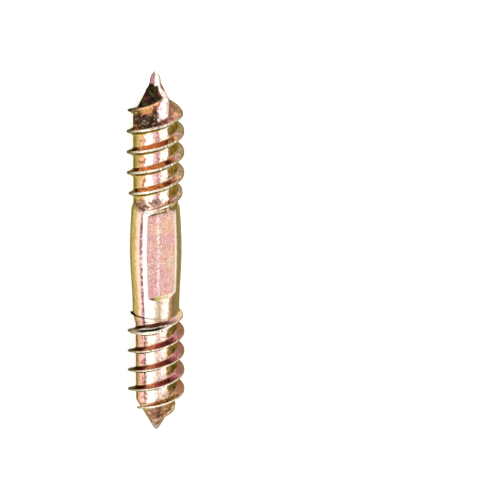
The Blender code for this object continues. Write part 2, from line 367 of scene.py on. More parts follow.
def tint_regions(angle, z):
    """Each point's place round the screw, and how far it belongs to what is tinted by z."""
    around = (1 + np.cos(angle + VIEW_TURN)) / 2
    facing = (1 - np.sin(angle + VIEW_TURN)) / 2
    in_front = fade(facing, *FRONT_FADE)
    cone_from = CONE_TINT_FROM + CONE_TINT_RISE * np.arccos(1 - 2 * around) / math.pi
    cone_shift = CONE_TINT_SHIFT * fade(z, *CONE_SHIFT_FADE)
    gap_shift = GAP_TINT_SHIFT * fade(z, *GAP_SHIFT_FADE)
    return {
        "around": around,
        "facing": facing,
        "swing": np.abs(np.sin(angle + VIEW_TURN)),
        "bottom": fade(z, *BOTTOM_TINTS_FADE),
        "reflection_line": fade(z, *REFLECTION_LINE_FADE),
        "cone": np.clip((z - cone_from) / CONE_BORDER + 0.5, 0, 1),
        "first_gap": np.clip((z - cone_from + CONE_TINT_RISE) / CONE_BORDER + 0.5, 0, 1),
        "cone_around": np.clip(around - cone_shift, 0, 1),
        "gap_around": np.clip(around - gap_shift, 0, 1),
        "nub": fade(z, *NUB_FADE),
        "low_start": fade(z, *LOW_START_FADE),
        "low_cone": fade(z, *LOW_CONE_FADE),
        "low_tip": fade(z, *LOW_TIP_FADE),
        "stain": patches(STAINS, z, around) * in_front,
        "flakes_and_highlights": patches(FLAKES_AND_HIGHLIGHTS, z, around) * in_front,
    }


def surface(angle, z):
    """Points of the screw's skin, and how far each belongs to the regions of the plating."""
    core = core_at(z)
    ends = zip(thread_at(TOP, angle, z, core), thread_at(BOTTOM, angle, z, core))
    thread = Thread(*(np.where(z > 0, top, low) for top, low in ends))
    radius = core + thread.rise
    x = radius * np.cos(angle) * (1 + spread_at(z))
    y, wall, past_edge = pressed(x, radius * np.sin(angle), z)
    regions = tint_regions(angle, z)
    regions.update(thread_regions(thread, z, regions["around"]))
    regions.update(shank_regions(x, z, wall, past_edge))
    return np.stack([x, y, z], axis=-1), regions


def band_of_rows(end, angles):
    """Z of a thread band's vertices: rows that follow the helix, cut off level at both ends."""
    pitch = end.lead / THREAD_STARTS
    half = sorted(end.row_offsets)
    offsets = np.array([-offset for offset in half[:0:-1]] + half + [pitch / 2 - MIDWAY_SHIFT])
    low, high = end.band
    end_z = end.side * (HALF_LENGTH - end.thread_end)
    first = math.floor((low - end_z - end.lead) / pitch) - 1
    last = math.ceil((high - end_z + end.lead) / pitch) + 2
    rows = np.concatenate([offsets + count * pitch for count in range(first, last)])
    helix = end_z + end.lead * (angles - end.end_angle) / (2 * math.pi)
    z = np.clip(helix[:, None] + rows[None, :], low, high)
    return z, THREAD_STARTS * len(offsets)


def level_rows(heights, angles):
    """Z of the vertices of level rows, in the form that band_of_rows gives."""
    return np.repeat(np.array(heights, float)[None, :], len(angles), axis=0), 0


def skin_mesh():
    """The whole skin as one mesh: bands stacked along the axis, welded where they meet."""
    angles = np.arange(ANGLES) * 2 * math.pi / ANGLES
    tip = 1 - np.cos(np.linspace(0, math.pi / 2, TIP_ROWS))
    bands = [
        level_rows(-HALF_LENGTH + (BOTTOM.band[0] + HALF_LENGTH) * tip, angles),
        band_of_rows(BOTTOM, angles),
        level_rows(np.concatenate([np.linspace(*rows) for rows in SHANK_ROWS]), angles),
        band_of_rows(TOP, angles),
        level_rows((HALF_LENGTH - (HALF_LENGTH - TOP.band[1]) * tip)[::-1], angles),
    ]
    points, layers, corners, count = [], {}, [], 0
    for z, seam_rows in bands:
        around, along = z.shape
        angle = np.repeat(angles[:, None], along, axis=1)
        places, regions = surface(angle, z)
        points.append(places.reshape(-1, 3))
        for name, values in regions.items():
            layers.setdefault(name, []).append(values.reshape(-1))
        index = count + np.arange(around * along).reshape(around, along)
        here, there = index[:-1], index[1:]
        corners.append(np.stack([here[:, :-1], there[:, :-1], there[:, 1:], here[:, 1:]], -1))
        last, first = index[-1], index[0]
        if seam_rows:
            last, first = last[:-seam_rows], first[seam_rows:]
        corners.append(np.stack([last[:-1], first[:-1], first[1:], last[1:]], -1)[None])
        count += around * along

    points = np.round(np.concatenate(points), 5) + 0.0
    unique, first_use, inverse = np.unique(points, axis=0, return_index=True, return_inverse=True)
    quads = inverse.reshape(-1)[np.concatenate([c.reshape(-1, 4) for c in corners])]
    faces = []
    for quad in quads.tolist():
        kept = [v for i, v in enumerate(quad) if v != quad[i - 1]]
        if len(set(kept)) == len(kept) and len(kept) > 2:
            faces.append(kept)

    mesh = bpy.data.meshes.new("screw_skin")
    mesh.from_pydata(laid_down(unique).tolist(), [], faces)
    mesh.validate()
    for name, parts in layers.items():
        store(mesh, name, np.concatenate(parts)[first_use])
    mesh.shade_smooth()
    return mesh


def laid_down(points):
    """From the upright frame in millimetres to the frame of the CAD in metres."""
    x, y, z = points[:, 0], points[:, 1], points[:, 2]
    return np.stack([x * MM, z * MM, -y * MM + AXIS_HEIGHT], axis=-1)


def store(mesh, name, values):
    """Keeps a value for each vertex in the mesh, for the material to read."""
    attribute = mesh.attributes.new(name, "FLOAT", "POINT")
    attribute.data.foreach_set("value", values.astype(np.float32))


def fin_mesh():
    """The fin: a thin blade round part of the shank that sinks into it towards its end."""
    shares = np.linspace(0, 1, FIN_STEPS)
    angles = BOTTOM.end_angle + (shares * FIN_TURNS + FIN_TURNS_PAST_END) * 2 * math.pi
    base = core_at(np.array([FIN_Z]))[0]
    rings = []
    for angle, outer in zip(angles, base + FIN_HEIGHT * (1 - shares)):
        section = [
            (base - FIN_ROOT_DEPTH, FIN_Z + 2 * FIN_HALF_WIDTH),
            (outer - FIN_EDGE_DEPTH, FIN_Z + FIN_HALF_WIDTH / 2),
            (outer, FIN_Z),
            (outer - FIN_EDGE_DEPTH, FIN_Z - FIN_HALF_WIDTH / 2),
            (base - FIN_ROOT_DEPTH, FIN_Z - 2 * FIN_HALF_WIDTH),
        ]
        rings.append([(r * math.cos(angle), r * math.sin(angle), z) for r, z in section])
    size = len(rings[0])
    faces = []
    for start in range(0, (len(rings) - 1) * size, size):
        for j in range(size):
            after = (j + 1) % size
            faces.append((start + j, start + size + j, start + size + after, start + after))
    faces += [tuple(range(size))[::-1], tuple((len(rings) - 1) * size + j for j in range(size))]
    mesh = bpy.data.meshes.new("fin")
    points = np.array(sum(rings, []))
    mesh.from_pydata(laid_down(points).tolist(), [], faces)
    around = np.cos(np.arctan2(points[:, 1], points[:, 0]) + VIEW_TURN)
    store(mesh, "around", (1 + around) / 2)
    # The fin takes the split's dark tint: painted shadow in the gap under it, fading towards its
    # end
    store(mesh, "split", np.repeat(1 - FIN_FADING * shares, size))
    mesh.shade_smooth()
    return mesh


def linear(red, green, blue):
    """A colour given in 0-255 screen values, as the renderer takes it."""
    channels = [value / 255 for value in (red, green, blue)]
    return tuple(
        c / 12.92 if c <= 0.04045 else ((c + 0.055) / 1.055) ** 2.4 for c in channels
    ) + (1.0,)


def add(tree, kind, **values):
    """A node with its settings and unlinked inputs; an input's name has _ for a space."""
    node = tree.nodes.new(kind)
    for name, value in values.items():
        if hasattr(node, name):
            setattr(node, name, value)
        else:
            node.inputs[name.replace("_", " ")].default_value = value
    return node


def mix(tree, factor, first, second):
    """Mixes two colours, each in screen values or a socket, by a factor socket."""
    node = add(tree, "ShaderNodeMix", data_type="RGBA")
    tree.links.new(factor, node.inputs["Factor"])
    for socket, value in ((node.inputs[6], first), (node.inputs[7], second)):
        if isinstance(value, tuple):
            socket.default_value = linear(*value)
        else:
            tree.links.new(value, socket)
    return node.outputs[2]


def math_node(tree, operation, first, second, clamp=False):
    """A sum, difference or product of two values, each a number or a socket."""
    node = add(tree, "ShaderNodeMath", operation=operation, use_clamp=clamp)
    for socket, value in zip(node.inputs, (first, second)):
        if isinstance(value, (int, float)):
            socket.default_value = value
        else:
            tree.links.new(value, socket)
    return node.outputs[0]


def times(tree, product, *factors):
    """The product of a socket and any numbers or sockets."""
    for factor in factors:
        product = math_node(tree, "MULTIPLY", product, factor)
    return product


def rest_of(tree, share):
    """What a share leaves over of one."""
    return math_node(tree, "SUBTRACT", 1.0, share)


def stretch(tree, value, low, high, to_low=0.0, to_high=1.0):
    """A socket's values stretched from one range to another, held at the ends."""
    node = add(
        tree, "ShaderNodeMapRange", From_Min=low, From_Max=high, To_Min=to_low, To_Max=to_high
    )
    tree.links.new(value, node.inputs["Value"])
    return node.outputs["Result"]


# Noise, and the two of its levels that are stretched to 0 and 1
Pattern = namedtuple("Pattern", "scale detail low high")


def noise(tree, place, pattern):
    """Noise from 0 to 1 in a pattern."""
    texture = add(tree, "ShaderNodeTexNoise", Scale=pattern.scale, Detail=pattern.detail)
    tree.links.new(place, texture.inputs["Vector"])
    return stretch(tree, texture.outputs["Fac"], pattern.low, pattern.high)


# A tint in screen values that shows where a pattern is high
Flecks = namedtuple("Flecks", "tint pattern strength", defaults=(1.0,))


def flecked(tree, place, color, flecks, *shares):
    """A colour with flecks over it, thinned out by shares from 0 to 1."""
    amount = times(tree, noise(tree, place, flecks.pattern), flecks.strength, *shares)
    return mix(tree, amount, color, flecks.tint)


def layer(tree, name):
    """A value that the mesh keeps for each vertex."""
    return add(tree, "ShaderNodeAttribute", attribute_name=name).outputs["Fac"]


def ramp(tree, factor, stops):
    """A colour ramp through (position, red, green, blue) stops, colours in screen values."""
    node = add(tree, "ShaderNodeValToRGB")
    node.color_ramp.interpolation = "EASE"
    elements = node.color_ramp.elements
    while len(elements) < len(stops):
        elements.new(0.5)
    for element, (position, *color) in zip(elements, stops):
        element.position = position
        element.color = linear(*color)
    tree.links.new(factor, node.inputs["Fac"])
    return node.outputs["Color"]


# Tints from left to right round the screw, as the camera sees it. Beside the plating's colour
# they hold painted reflections: the near-white bands are painted highlights, and the dark olive
# towards the ends is painted dark reflection.
TOP_CORE_TINTS = (
    (0.0, 124, 124, 80), (0.03, 142, 140, 88), (0.08, 168, 150, 88), (0.13, 200, 164, 108),
    (0.19, 220, 178, 132), (0.26, 206, 156, 120), (0.29, 255, 244, 222), (0.38, 255, 252, 244),
    (0.46, 240, 198, 192), (0.59, 212, 158, 160), (0.645, 248, 232, 216), (0.76, 252, 238, 220),
    (0.81, 154, 116, 68), (0.92, 122, 102, 50), (1.0, 124, 114, 64),
)
BOTTOM_CORE_TINTS = (
    (0.0, 108, 94, 64), (0.025, 146, 116, 86), (0.08, 208, 164, 128), (0.14, 236, 186, 164),
    (0.2, 240, 184, 188), (0.25, 240, 228, 208), (0.32, 250, 248, 234), (0.46, 248, 240, 222),
    (0.56, 238, 206, 196), (0.68, 246, 218, 212), (0.75, 244, 222, 200), (0.8, 150, 116, 66),
    (0.92, 104, 88, 44), (1.0, 114, 98, 58),
)
SHANK_TINTS = (
    (0.0, 126, 136, 110), (0.02, 150, 154, 120), (0.06, 196, 180, 116), (0.1, 194, 162, 102),
    (0.14, 230, 192, 146), (0.18, 244, 204, 188), (0.22, 226, 180, 180), (0.27, 250, 240, 230),
    (0.43, 250, 244, 232), (0.5, 228, 208, 188), (0.6, 196, 168, 136), (0.65, 230, 214, 192),
    (0.75, 248, 238, 218), (0.8, 196, 158, 122), (0.86, 156, 122, 88), (0.94, 156, 138, 98),
    (1.0, 146, 140, 106),
)
TOP_FLANK_TINTS = (
    (0.0, 96, 92, 70), (0.08, 52, 46, 30), (0.14, 84, 52, 36), (0.2, 200, 108, 78),
    (0.3, 255, 156, 112), (0.42, 230, 118, 74), (0.52, 255, 156, 110), (0.64, 204, 94, 62),
    (0.76, 88, 36, 30), (0.84, 204, 128, 110), (0.93, 212, 164, 154), (1.0, 154, 140, 116),
)
BOTTOM_FLANK_TINTS = (
    (0.0, 84, 76, 50), (0.08, 52, 42, 28), (0.18, 100, 50, 46), (0.26, 140, 66, 64),
    (0.33, 255, 184, 164), (0.45, 255, 156, 140), (0.54, 196, 88, 98), (0.66, 150, 74, 72),
    (0.76, 94, 46, 50), (0.84, 206, 112, 144), (0.92, 220, 146, 158), (1.0, 146, 104, 92),
)
FLANK_BACK_TINTS = (
    (0.0, 90, 86, 60), (0.3, 150, 120, 80), (0.7, 120, 100, 64), (0.86, 144, 118, 72),
    (0.94, 180, 152, 124), (1.0, 172, 144, 120),
)
CREST_TINTS = (
    (0.0, 92, 90, 64), (0.1, 150, 142, 114), (0.2, 204, 194, 170), (0.35, 236, 230, 212),
    (0.65, 246, 238, 222), (0.85, 232, 212, 190), (0.94, 190, 168, 136), (1.0, 124, 114, 78),
)
FIRST_CREST_TINTS = (
    (0.0, 52, 50, 36), (0.1, 84, 76, 54), (0.2, 190, 160, 124), (0.34, 255, 240, 222),
    (0.6, 255, 232, 214), (0.8, 214, 176, 150), (1.0, 140, 124, 90),
)
CONE_TINTS = (
    (0.0, 60, 44, 40), (0.1, 48, 34, 28), (0.3, 36, 30, 20), (0.46, 60, 52, 30),
    (0.58, 44, 36, 24), (0.66, 84, 46, 46), (0.71, 140, 96, 84), (0.75, 255, 248, 232),
    (0.88, 255, 236, 222), (0.95, 176, 134, 112), (1.0, 96, 86, 58),
)
FIRST_GAP_TINTS = (
    (0.0, 112, 98, 66), (0.04, 150, 120, 80), (0.1, 216, 146, 86), (0.3, 250, 180, 116),
    (0.44, 244, 164, 112), (0.52, 200, 120, 100), (0.57, 255, 246, 240), (0.66, 255, 228, 226),
    (0.72, 255, 250, 246), (0.82, 255, 232, 222), (0.86, 120, 92, 70), (0.9, 164, 122, 100),
    (1.0, 130, 116, 76),
)
FIRST_FLANK_TINTS = (
    (0.0, 90, 80, 60), (0.1, 60, 42, 30), (0.3, 80, 42, 32), (0.5, 76, 40, 32),
    (0.66, 110, 58, 54), (0.8, 140, 90, 84), (0.92, 198, 150, 126), (1.0, 150, 124, 96),
)
NUB_TINTS = (
    (0.0, 120, 84, 84), (0.2, 196, 132, 136), (0.38, 170, 110, 116), (0.46, 255, 252, 246),
    (0.84, 255, 253, 246), (0.92, 208, 198, 176), (1.0, 172, 154, 126),
)
LOW_CONE_TINTS = (
    (0.0, 120, 112, 78), (0.12, 176, 140, 112), (0.3, 160, 112, 100), (0.45, 186, 134, 112),
    (0.58, 130, 84, 70), (0.7, 160, 112, 86), (0.82, 190, 142, 104), (0.9, 176, 132, 96),
    (1.0, 128, 112, 82),
)
LOW_TIP_TINTS = (
    (0.0, 120, 116, 104), (0.4, 176, 166, 156), (0.7, 190, 188, 182), (1.0, 110, 104, 92),
)
WALL_TINTS = (
    (0.0, 200, 170, 140), (0.33, 160, 98, 92), (0.38, 104, 40, 50), (0.46, 116, 50, 54),
    (0.51, 196, 178, 90), (0.57, 226, 212, 140), (0.63, 248, 228, 188), (1.0, 252, 240, 214),
)

# Tints along the level of a noise
SIDE_TINTS = (
    (0.0, 108, 104, 64), (0.3, 166, 148, 90), (0.48, 216, 184, 132), (0.62, 216, 172, 162),
    (0.8, 184, 160, 100), (1.0, 122, 104, 66),
)
STAIN_TINTS = (
    (0.0, 84, 58, 48), (0.45, 122, 84, 70), (0.75, 158, 122, 104), (1.0, 214, 184, 166),
)
GAP_STAIN_TINTS = (
    (0.0, 38, 28, 22), (0.5, 70, 48, 38), (0.82, 100, 86, 66), (1.0, 172, 158, 138),
)

# Where round the screw the painted dark reflection line, the dashes and the painted glints show
REFLECTION_LINE_MASK = (
    (0.0, 0, 0, 0), (0.195, 0, 0, 0), (0.225, 255, 255, 255), (0.258, 255, 255, 255),
    (0.272, 120, 120, 120), (0.292, 0, 0, 0),
)
DASH_MASK = (
    (0.0, 0, 0, 0), (0.1, 0, 0, 0), (0.16, 240, 240, 240), (0.27, 240, 240, 240), (0.35, 0, 0, 0),
    (0.44, 0, 0, 0), (0.48, 170, 170, 170), (0.58, 170, 170, 170), (0.62, 0, 0, 0),
)
GLINT_MASK = (
    (0.0, 0, 0, 0), (0.79, 0, 0, 0), (0.84, 220, 220, 220), (0.95, 220, 220, 220), (1.0, 0, 0, 0),
)

# Single tints, and the shares in which some are laid on
SPECULAR_TINT = (140, 140, 96)
# Rose border of the painted dark reflection line
REFLECTION_LINE_BORDER_TINT = (214, 168, 164)
REFLECTION_LINE_BORDER_SHARE = 0.5
# Painted highlight along the thread roots
ROOT_HIGHLIGHT_TINT = (244, 206, 150)
# Painted highlight under the top thread's crests
FOOT_HIGHLIGHT_TINT = (206, 190, 104)
FOOT_HIGHLIGHT_STRENGTH = 0.7
FLAT_ROSE = (212, 160, 160)
FLAT_ORANGE = (222, 176, 146)
# Painted highlight along the flats' right edges
FLAT_EDGE_HIGHLIGHT_TINT = (255, 248, 236)
# Painted shade in the crease at a flank's root
FLANK_ROOT_SHADE_TINT = (70, 36, 28)
FLANK_ROOT_BOTTOM_LOSS = 0.6
LOW_FLANK_TINT = (176, 126, 86)
LOW_FLANK_SHARE = 0.75
BEHIND_ROSE = (150, 98, 80)
BEHIND_ROSE_SHARE = 0.75
RUNOUT_TINT = (226, 190, 160)
TOP_DOWNWARD_TINT = (222, 202, 122)
BOTTOM_DOWNWARD_TINT = (200, 182, 132)
RUNOUT_DOWNWARD_TINT = (206, 176, 130)
# Painted shade in the split's groove and in the gap under the fin
SPLIT_SHADE_TINT = (48, 34, 16)
HATCH_TINT = (120, 108, 72)

# Flecks of the core and shank: the glints are painted highlights, and the specks of the
# reflection line are painted dark reflection
DASHES = Flecks((156, 88, 66), Pattern(2000, 3.0, 0.51, 0.6))
REFLECTION_LINE_SPECKS = Flecks((116, 78, 74), Pattern(3400, 3.0, 0.32, 0.55))
GLINTS = Flecks((206, 164, 92), Pattern(1700, 2.0, 0.5, 0.66))
GAP_ROSE = Flecks((216, 140, 140), Pattern(1700, 3.0, 0.48, 0.62), 0.6)
LOW_DULL = Flecks((116, 84, 64), Pattern(2100, 3.0, 0.52, 0.64), 0.6)
LOW_BRIGHT = Flecks((246, 214, 176), Pattern(2500, 3.0, 0.55, 0.66), 0.6)

# Flecks of the flats
PALE_PATCHES = Flecks((212, 198, 170), Pattern(900, 2.0, 0.56, 0.7))
DARK_SPECKS = Flecks((176, 112, 112), Pattern(5600, 2.0, 0.5, 0.66), 0.7)
PALE_SPECKS = Flecks((250, 226, 210), Pattern(6400, 2.0, 0.54, 0.68), 0.8)
STREAK_SHINE = Flecks((252, 234, 230), Pattern(3600, 1.0, 0.4, 0.6))

# Flecks of the threads
FLANK_BLOTCHES = Flecks((96, 52, 34), Pattern(1300, 2.0, 0.5, 0.66), 0.55)
BLOTCH_BOTTOM_LOSS = 0.5
FLANK_GOLD = Flecks((250, 190, 124), Pattern(1700, 2.0, 0.52, 0.66), 0.6)
# Painted highlight flecks on the flanks by the bottom cone
LOW_FLANK_HIGHLIGHT = Flecks((255, 232, 196), Pattern(2200, 2.0, 0.3, 0.5))
CREST_FLECKS = Flecks((140, 132, 96), Pattern(3800, 1.0, 0.55, 0.7))

# Flecks of the top cone and of the flaky patches, whose gilt and sparks are partly painted
# highlight
# The olive flecks on the top cone are painted glints
CONE_OLIVE_GLINTS = Flecks((112, 104, 56), Pattern(1900, 3.0, 0.54, 0.66), 0.5)
CONE_RUST = Flecks((120, 66, 62), Pattern(1500, 3.0, 0.56, 0.66), 0.5)
GILT_AND_HIGHLIGHT = Flecks((236, 190, 126), Pattern(1600, 2.0, 0.4, 0.6))
CRACKS = Flecks((84, 52, 34), Pattern(3000, 3.0, 0.5, 0.58))
SPARKS = Flecks((255, 242, 212), Pattern(3400, 2.0, 0.56, 0.64))

# Uneven borders between the tints
WANDER = Pattern(1500, 3.0, 0.3, 0.7)
WANDER_REACH = 0.07
RAGGED = Pattern(1600, 3.0, 0.3, 0.7)
RAGGED_REACH = 0.6
RAGGED_LEVELS = (0.7, 0.9)

# Streaks along the screw, at the sides of the core as the camera sees them, their dark olive
# partly painted dark reflection
SIDE_STREAKS = Pattern(520, 3.0, 0.25, 0.75)
SIDE_SWING = (0.37, 0.14)
STREAK_SQUEEZE = (1.0, 0.12, 1.0)

# Patches of orange on the flats, which grow towards the right
FLAT_PATCHES = Pattern(420, 2.0, 0.4, 0.6)
FLAT_TO_RIGHT = (0.45, 0.75, -0.3, 0.2)

# Spread and flecks of the stains
MOTTLE = Pattern(1900, 3.0, 0.36, 0.64)
MOTTLE_LEVEL = 0.9
STAIN_GAIN = 2.0
STAIN_FLECKS = Pattern(2600, 2.0, 0.3, 0.7)

# Where a flank takes on the colours of the front, and where painted shade darkens it towards its
# root
FLANK_FRONT = (0.4, 0.56)
FLANK_ROOT_LEVELS = (0.6, 0.95, 0.0, 0.65)

# Fine hatching across the top thread's crest
HATCH_SCALE = 620.0
HATCH_DISTORTION = 1.5
HATCH_DETAIL = 1.0
HATCH_RIGHT = (0.42, 0.6, 0.0, 0.5)

# Roughness and relief of the metal
POLISH = Pattern(1400, 3.0, 0.4, 0.6)
ROUGHNESS = (0.16, 0.3)
FLAT_EXTRA_ROUGHNESS = 0.2
GRAIN = Pattern(5200, 2.0, 0.3, 0.7)
DENTS = Pattern(1100, 2.0, 0.3, 0.7)
DENT_HEIGHT = 1.5
BUMP_STRENGTH = 0.5
BUMP_DISTANCE = 0.00008


def streaks(tree, place):
    """The place squeezed along the screw, so that noise there runs in long streaks."""
    stretched = add(tree, "ShaderNodeMapping", Scale=STREAK_SQUEEZE)
    tree.links.new(place, stretched.inputs["Vector"])
    return stretched.outputs["Vector"]


def wandering(tree, place):
    """A small uneven shift of the tints round the screw, none where it is seen edge on."""
    centred = math_node(tree, "SUBTRACT", noise(tree, place, WANDER), 0.5)
    return times(tree, centred, WANDER_REACH, layer(tree, "swing"))


def ragged(tree, place, mask):
    """A soft-edged mask made sharp along an uneven edge."""
    shift = times(tree, noise(tree, place, RAGGED), RAGGED_REACH)
    return stretch(tree, math_node(tree, "ADD", mask, shift), *RAGGED_LEVELS)


def core_color(tree, place, around):
    """The core and shank between the threads, with the painted dark reflection line, dashes and
    painted glints along them, and the painted highlight lines by the threads.
    """
    color = mix(
        tree, layer(tree, "bottom"),
        ramp(tree, around, TOP_CORE_TINTS), ramp(tree, around, BOTTOM_CORE_TINTS),
    )
    color = mix(tree, layer(tree, "shank"), color, ramp(tree, around, SHANK_TINTS))
    side_color = ramp(tree, noise(tree, streaks(tree, place), SIDE_STREAKS), SIDE_TINTS)
    color = mix(tree, stretch(tree, layer(tree, "swing"), *SIDE_SWING), color, side_color)
    off_shank = rest_of(tree, layer(tree, "shank"))
    color = flecked(tree, place, color, DASHES, ramp(tree, around, DASH_MASK), off_shank)
    # Painted dark reflection line with a rose border, broken into specks, beside the painted
    # highlight at the left
    reflection_line = times(tree, ramp(tree, layer(tree, "around"), REFLECTION_LINE_MASK), layer(tree, "reflection_line"))
    color = mix(tree, times(tree, reflection_line, REFLECTION_LINE_BORDER_SHARE), color, REFLECTION_LINE_BORDER_TINT)
    color = flecked(tree, place, color, REFLECTION_LINE_SPECKS, reflection_line)
    color = flecked(tree, place, color, GLINTS, ramp(tree, around, GLINT_MASK), off_shank)
    # Painted highlight along the thread roots, stronger towards the right
    color = mix(tree, layer(tree, "root_highlight"), color, ROOT_HIGHLIGHT_TINT)
    # Painted highlight under each crest of the top thread
    foot_highlight = times(tree, layer(tree, "foot_highlight"), FOOT_HIGHLIGHT_STRENGTH)
    return mix(tree, foot_highlight, color, FOOT_HIGHLIGHT_TINT)


def gap_color(tree, place, wander):
    """The core in the first gap below the top cone."""
    around = math_node(tree, "ADD", layer(tree, "gap_around"), wander, clamp=True)
    return flecked(tree, place, ramp(tree, around, FIRST_GAP_TINTS), GAP_ROSE)


def cone_color(tree, place, wander):
    """The dark top cone, with a painted highlight band on its right and painted olive glints."""
    around = math_node(tree, "ADD", layer(tree, "cone_around"), wander, clamp=True)
    color = flecked(tree, place, ramp(tree, around, CONE_TINTS), CONE_OLIVE_GLINTS)
    return flecked(tree, place, color, CONE_RUST)


def low_cone_color(tree, place, around):
    """The bottom cone and its bare tip."""
    color = flecked(tree, place, ramp(tree, around, LOW_CONE_TINTS), LOW_DULL)
    color = flecked(tree, place, color, LOW_BRIGHT)
    return mix(tree, layer(tree, "low_tip"), color, ramp(tree, around, LOW_TIP_TINTS))


def flat_color(tree, place, around):
    """The pressed flats: rose that turns to orange in patches, and fine specks."""
    patchy = noise(tree, place, FLAT_PATCHES)
    orange = math_node(tree, "ADD", patchy, stretch(tree, around, *FLAT_TO_RIGHT), clamp=True)
    color = mix(tree, orange, FLAT_ROSE, FLAT_ORANGE)
    for flecks in (PALE_PATCHES, DARK_SPECKS, PALE_SPECKS):
        color = flecked(tree, place, color, flecks)
    return flecked(tree, place, color, STREAK_SHINE, layer(tree, "flat_streak"))


def upward_color(tree, place, around):
    """The flanks that face the top tip, which show most of the threads' colour."""
    bottom = layer(tree, "bottom")
    front = mix(
        tree, bottom, ramp(tree, around, TOP_FLANK_TINTS), ramp(tree, around, BOTTOM_FLANK_TINTS)
    )
    first_color = ramp(tree, around, FIRST_FLANK_TINTS)
    front = mix(tree, layer(tree, "first_gap"), front, first_color)
    blotch_share = rest_of(tree, times(tree, bottom, BLOTCH_BOTTOM_LOSS))
    front = flecked(tree, place, front, FLANK_BLOTCHES, blotch_share)
    front = flecked(tree, streaks(tree, place), front, FLANK_GOLD, rest_of(tree, bottom))
    # Painted shade in the crease where a flank meets the core
    root_shade = stretch(tree, layer(tree, "flank_root"), *FLANK_ROOT_LEVELS)
    kept_share = rest_of(tree, times(tree, bottom, FLANK_ROOT_BOTTOM_LOSS))
    front = mix(tree, times(tree, root_shade, kept_share), front, FLANK_ROOT_SHADE_TINT)
    low_share = times(tree, layer(tree, "low_start"), LOW_FLANK_SHARE)
    front = mix(tree, low_share, front, LOW_FLANK_TINT)
    # Painted highlight flecks on the flanks by the bottom cone
    front = flecked(tree, place, front, LOW_FLANK_HIGHLIGHT, layer(tree, "low_cone"))

    rose = times(tree, bottom, BEHIND_ROSE_SHARE)
    behind = mix(tree, rose, ramp(tree, around, FLANK_BACK_TINTS), BEHIND_ROSE)
    in_front = stretch(tree, layer(tree, "facing"), *FLANK_FRONT)
    flank = mix(tree, in_front, behind, front)
    return mix(tree, layer(tree, "runout"), flank, RUNOUT_TINT)


def downward_color(tree):
    """The flanks that face the bottom tip."""
    color = mix(tree, layer(tree, "bottom"), TOP_DOWNWARD_TINT, BOTTOM_DOWNWARD_TINT)
    return mix(tree, layer(tree, "runout"), color, RUNOUT_DOWNWARD_TINT)


def stained(tree, place, color):
    """A colour with the mottled stains, and the flaky patches with their painted highlight, over
    it.
    """
    spread = math_node(tree, "SUBTRACT", noise(tree, place, MOTTLE), MOTTLE_LEVEL)
    gained = times(tree, layer(tree, "stain"), STAIN_GAIN)
    mottle = math_node(tree, "ADD", spread, gained, clamp=True)
    level = noise(tree, place, STAIN_FLECKS)
    stain = mix(
        tree, layer(tree, "first_gap"),
        ramp(tree, level, STAIN_TINTS), ramp(tree, level, GAP_STAIN_TINTS),
    )
    color = mix(tree, mottle, color, stain)
    for flecks in (GILT_AND_HIGHLIGHT, CRACKS, SPARKS):
        color = flecked(tree, place, color, flecks, layer(tree, "flakes_and_highlights"))
    return color


def crest_color(tree, place, around):
    """The pale crests, hatched at the right on the top thread."""
    color = mix(
        tree, layer(tree, "first_gap"),
        ramp(tree, around, CREST_TINTS), ramp(tree, around, FIRST_CREST_TINTS),
    )
    color = flecked(tree, place, color, CREST_FLECKS)
    hatch = add(
        tree, "ShaderNodeTexWave", wave_profile="SAW",
        Scale=HATCH_SCALE, Distortion=HATCH_DISTORTION, Detail=HATCH_DETAIL,
    )
    tree.links.new(place, hatch.inputs["Vector"])
    on_right = stretch(tree, around, *HATCH_RIGHT)
    hatched = times(tree, hatch.outputs["Fac"], on_right, rest_of(tree, layer(tree, "bottom")))
    return mix(tree, hatched, color, HATCH_TINT)


def zinc_color(tree, place):
    """The colour of the whole plating with its painted highlights, reflections and shade, one
    region laid over the other.
    """
    wander = wandering(tree, place)
    around = math_node(tree, "ADD", layer(tree, "around"), wander, clamp=True)
    color = core_color(tree, place, around)
    regions = (
        ("first_gap", gap_color(tree, place, wander)),
        ("low_cone", low_cone_color(tree, place, around)),
        ("flat", flat_color(tree, place, around)),
        ("wall", ramp(tree, around, WALL_TINTS)),
        # Painted highlight along the flats' right edges
        ("flat_edge_highlight", FLAT_EDGE_HIGHLIGHT_TINT),
        ("upward_flank", upward_color(tree, place, around)),
        ("downward_flank", downward_color(tree)),
        # Painted shade in the split's groove and under the fin
        ("split", SPLIT_SHADE_TINT),
        ("cone", cone_color(tree, place, wander)),
    )
    for name, region_color in regions:
        color = mix(tree, layer(tree, name), color, region_color)
    nub = ragged(tree, place, layer(tree, "nub"))
    color = mix(tree, nub, color, ramp(tree, around, NUB_TINTS))
    color = stained(tree, place, color)
    return mix(tree, layer(tree, "crest"), color, crest_color(tree, place, around))


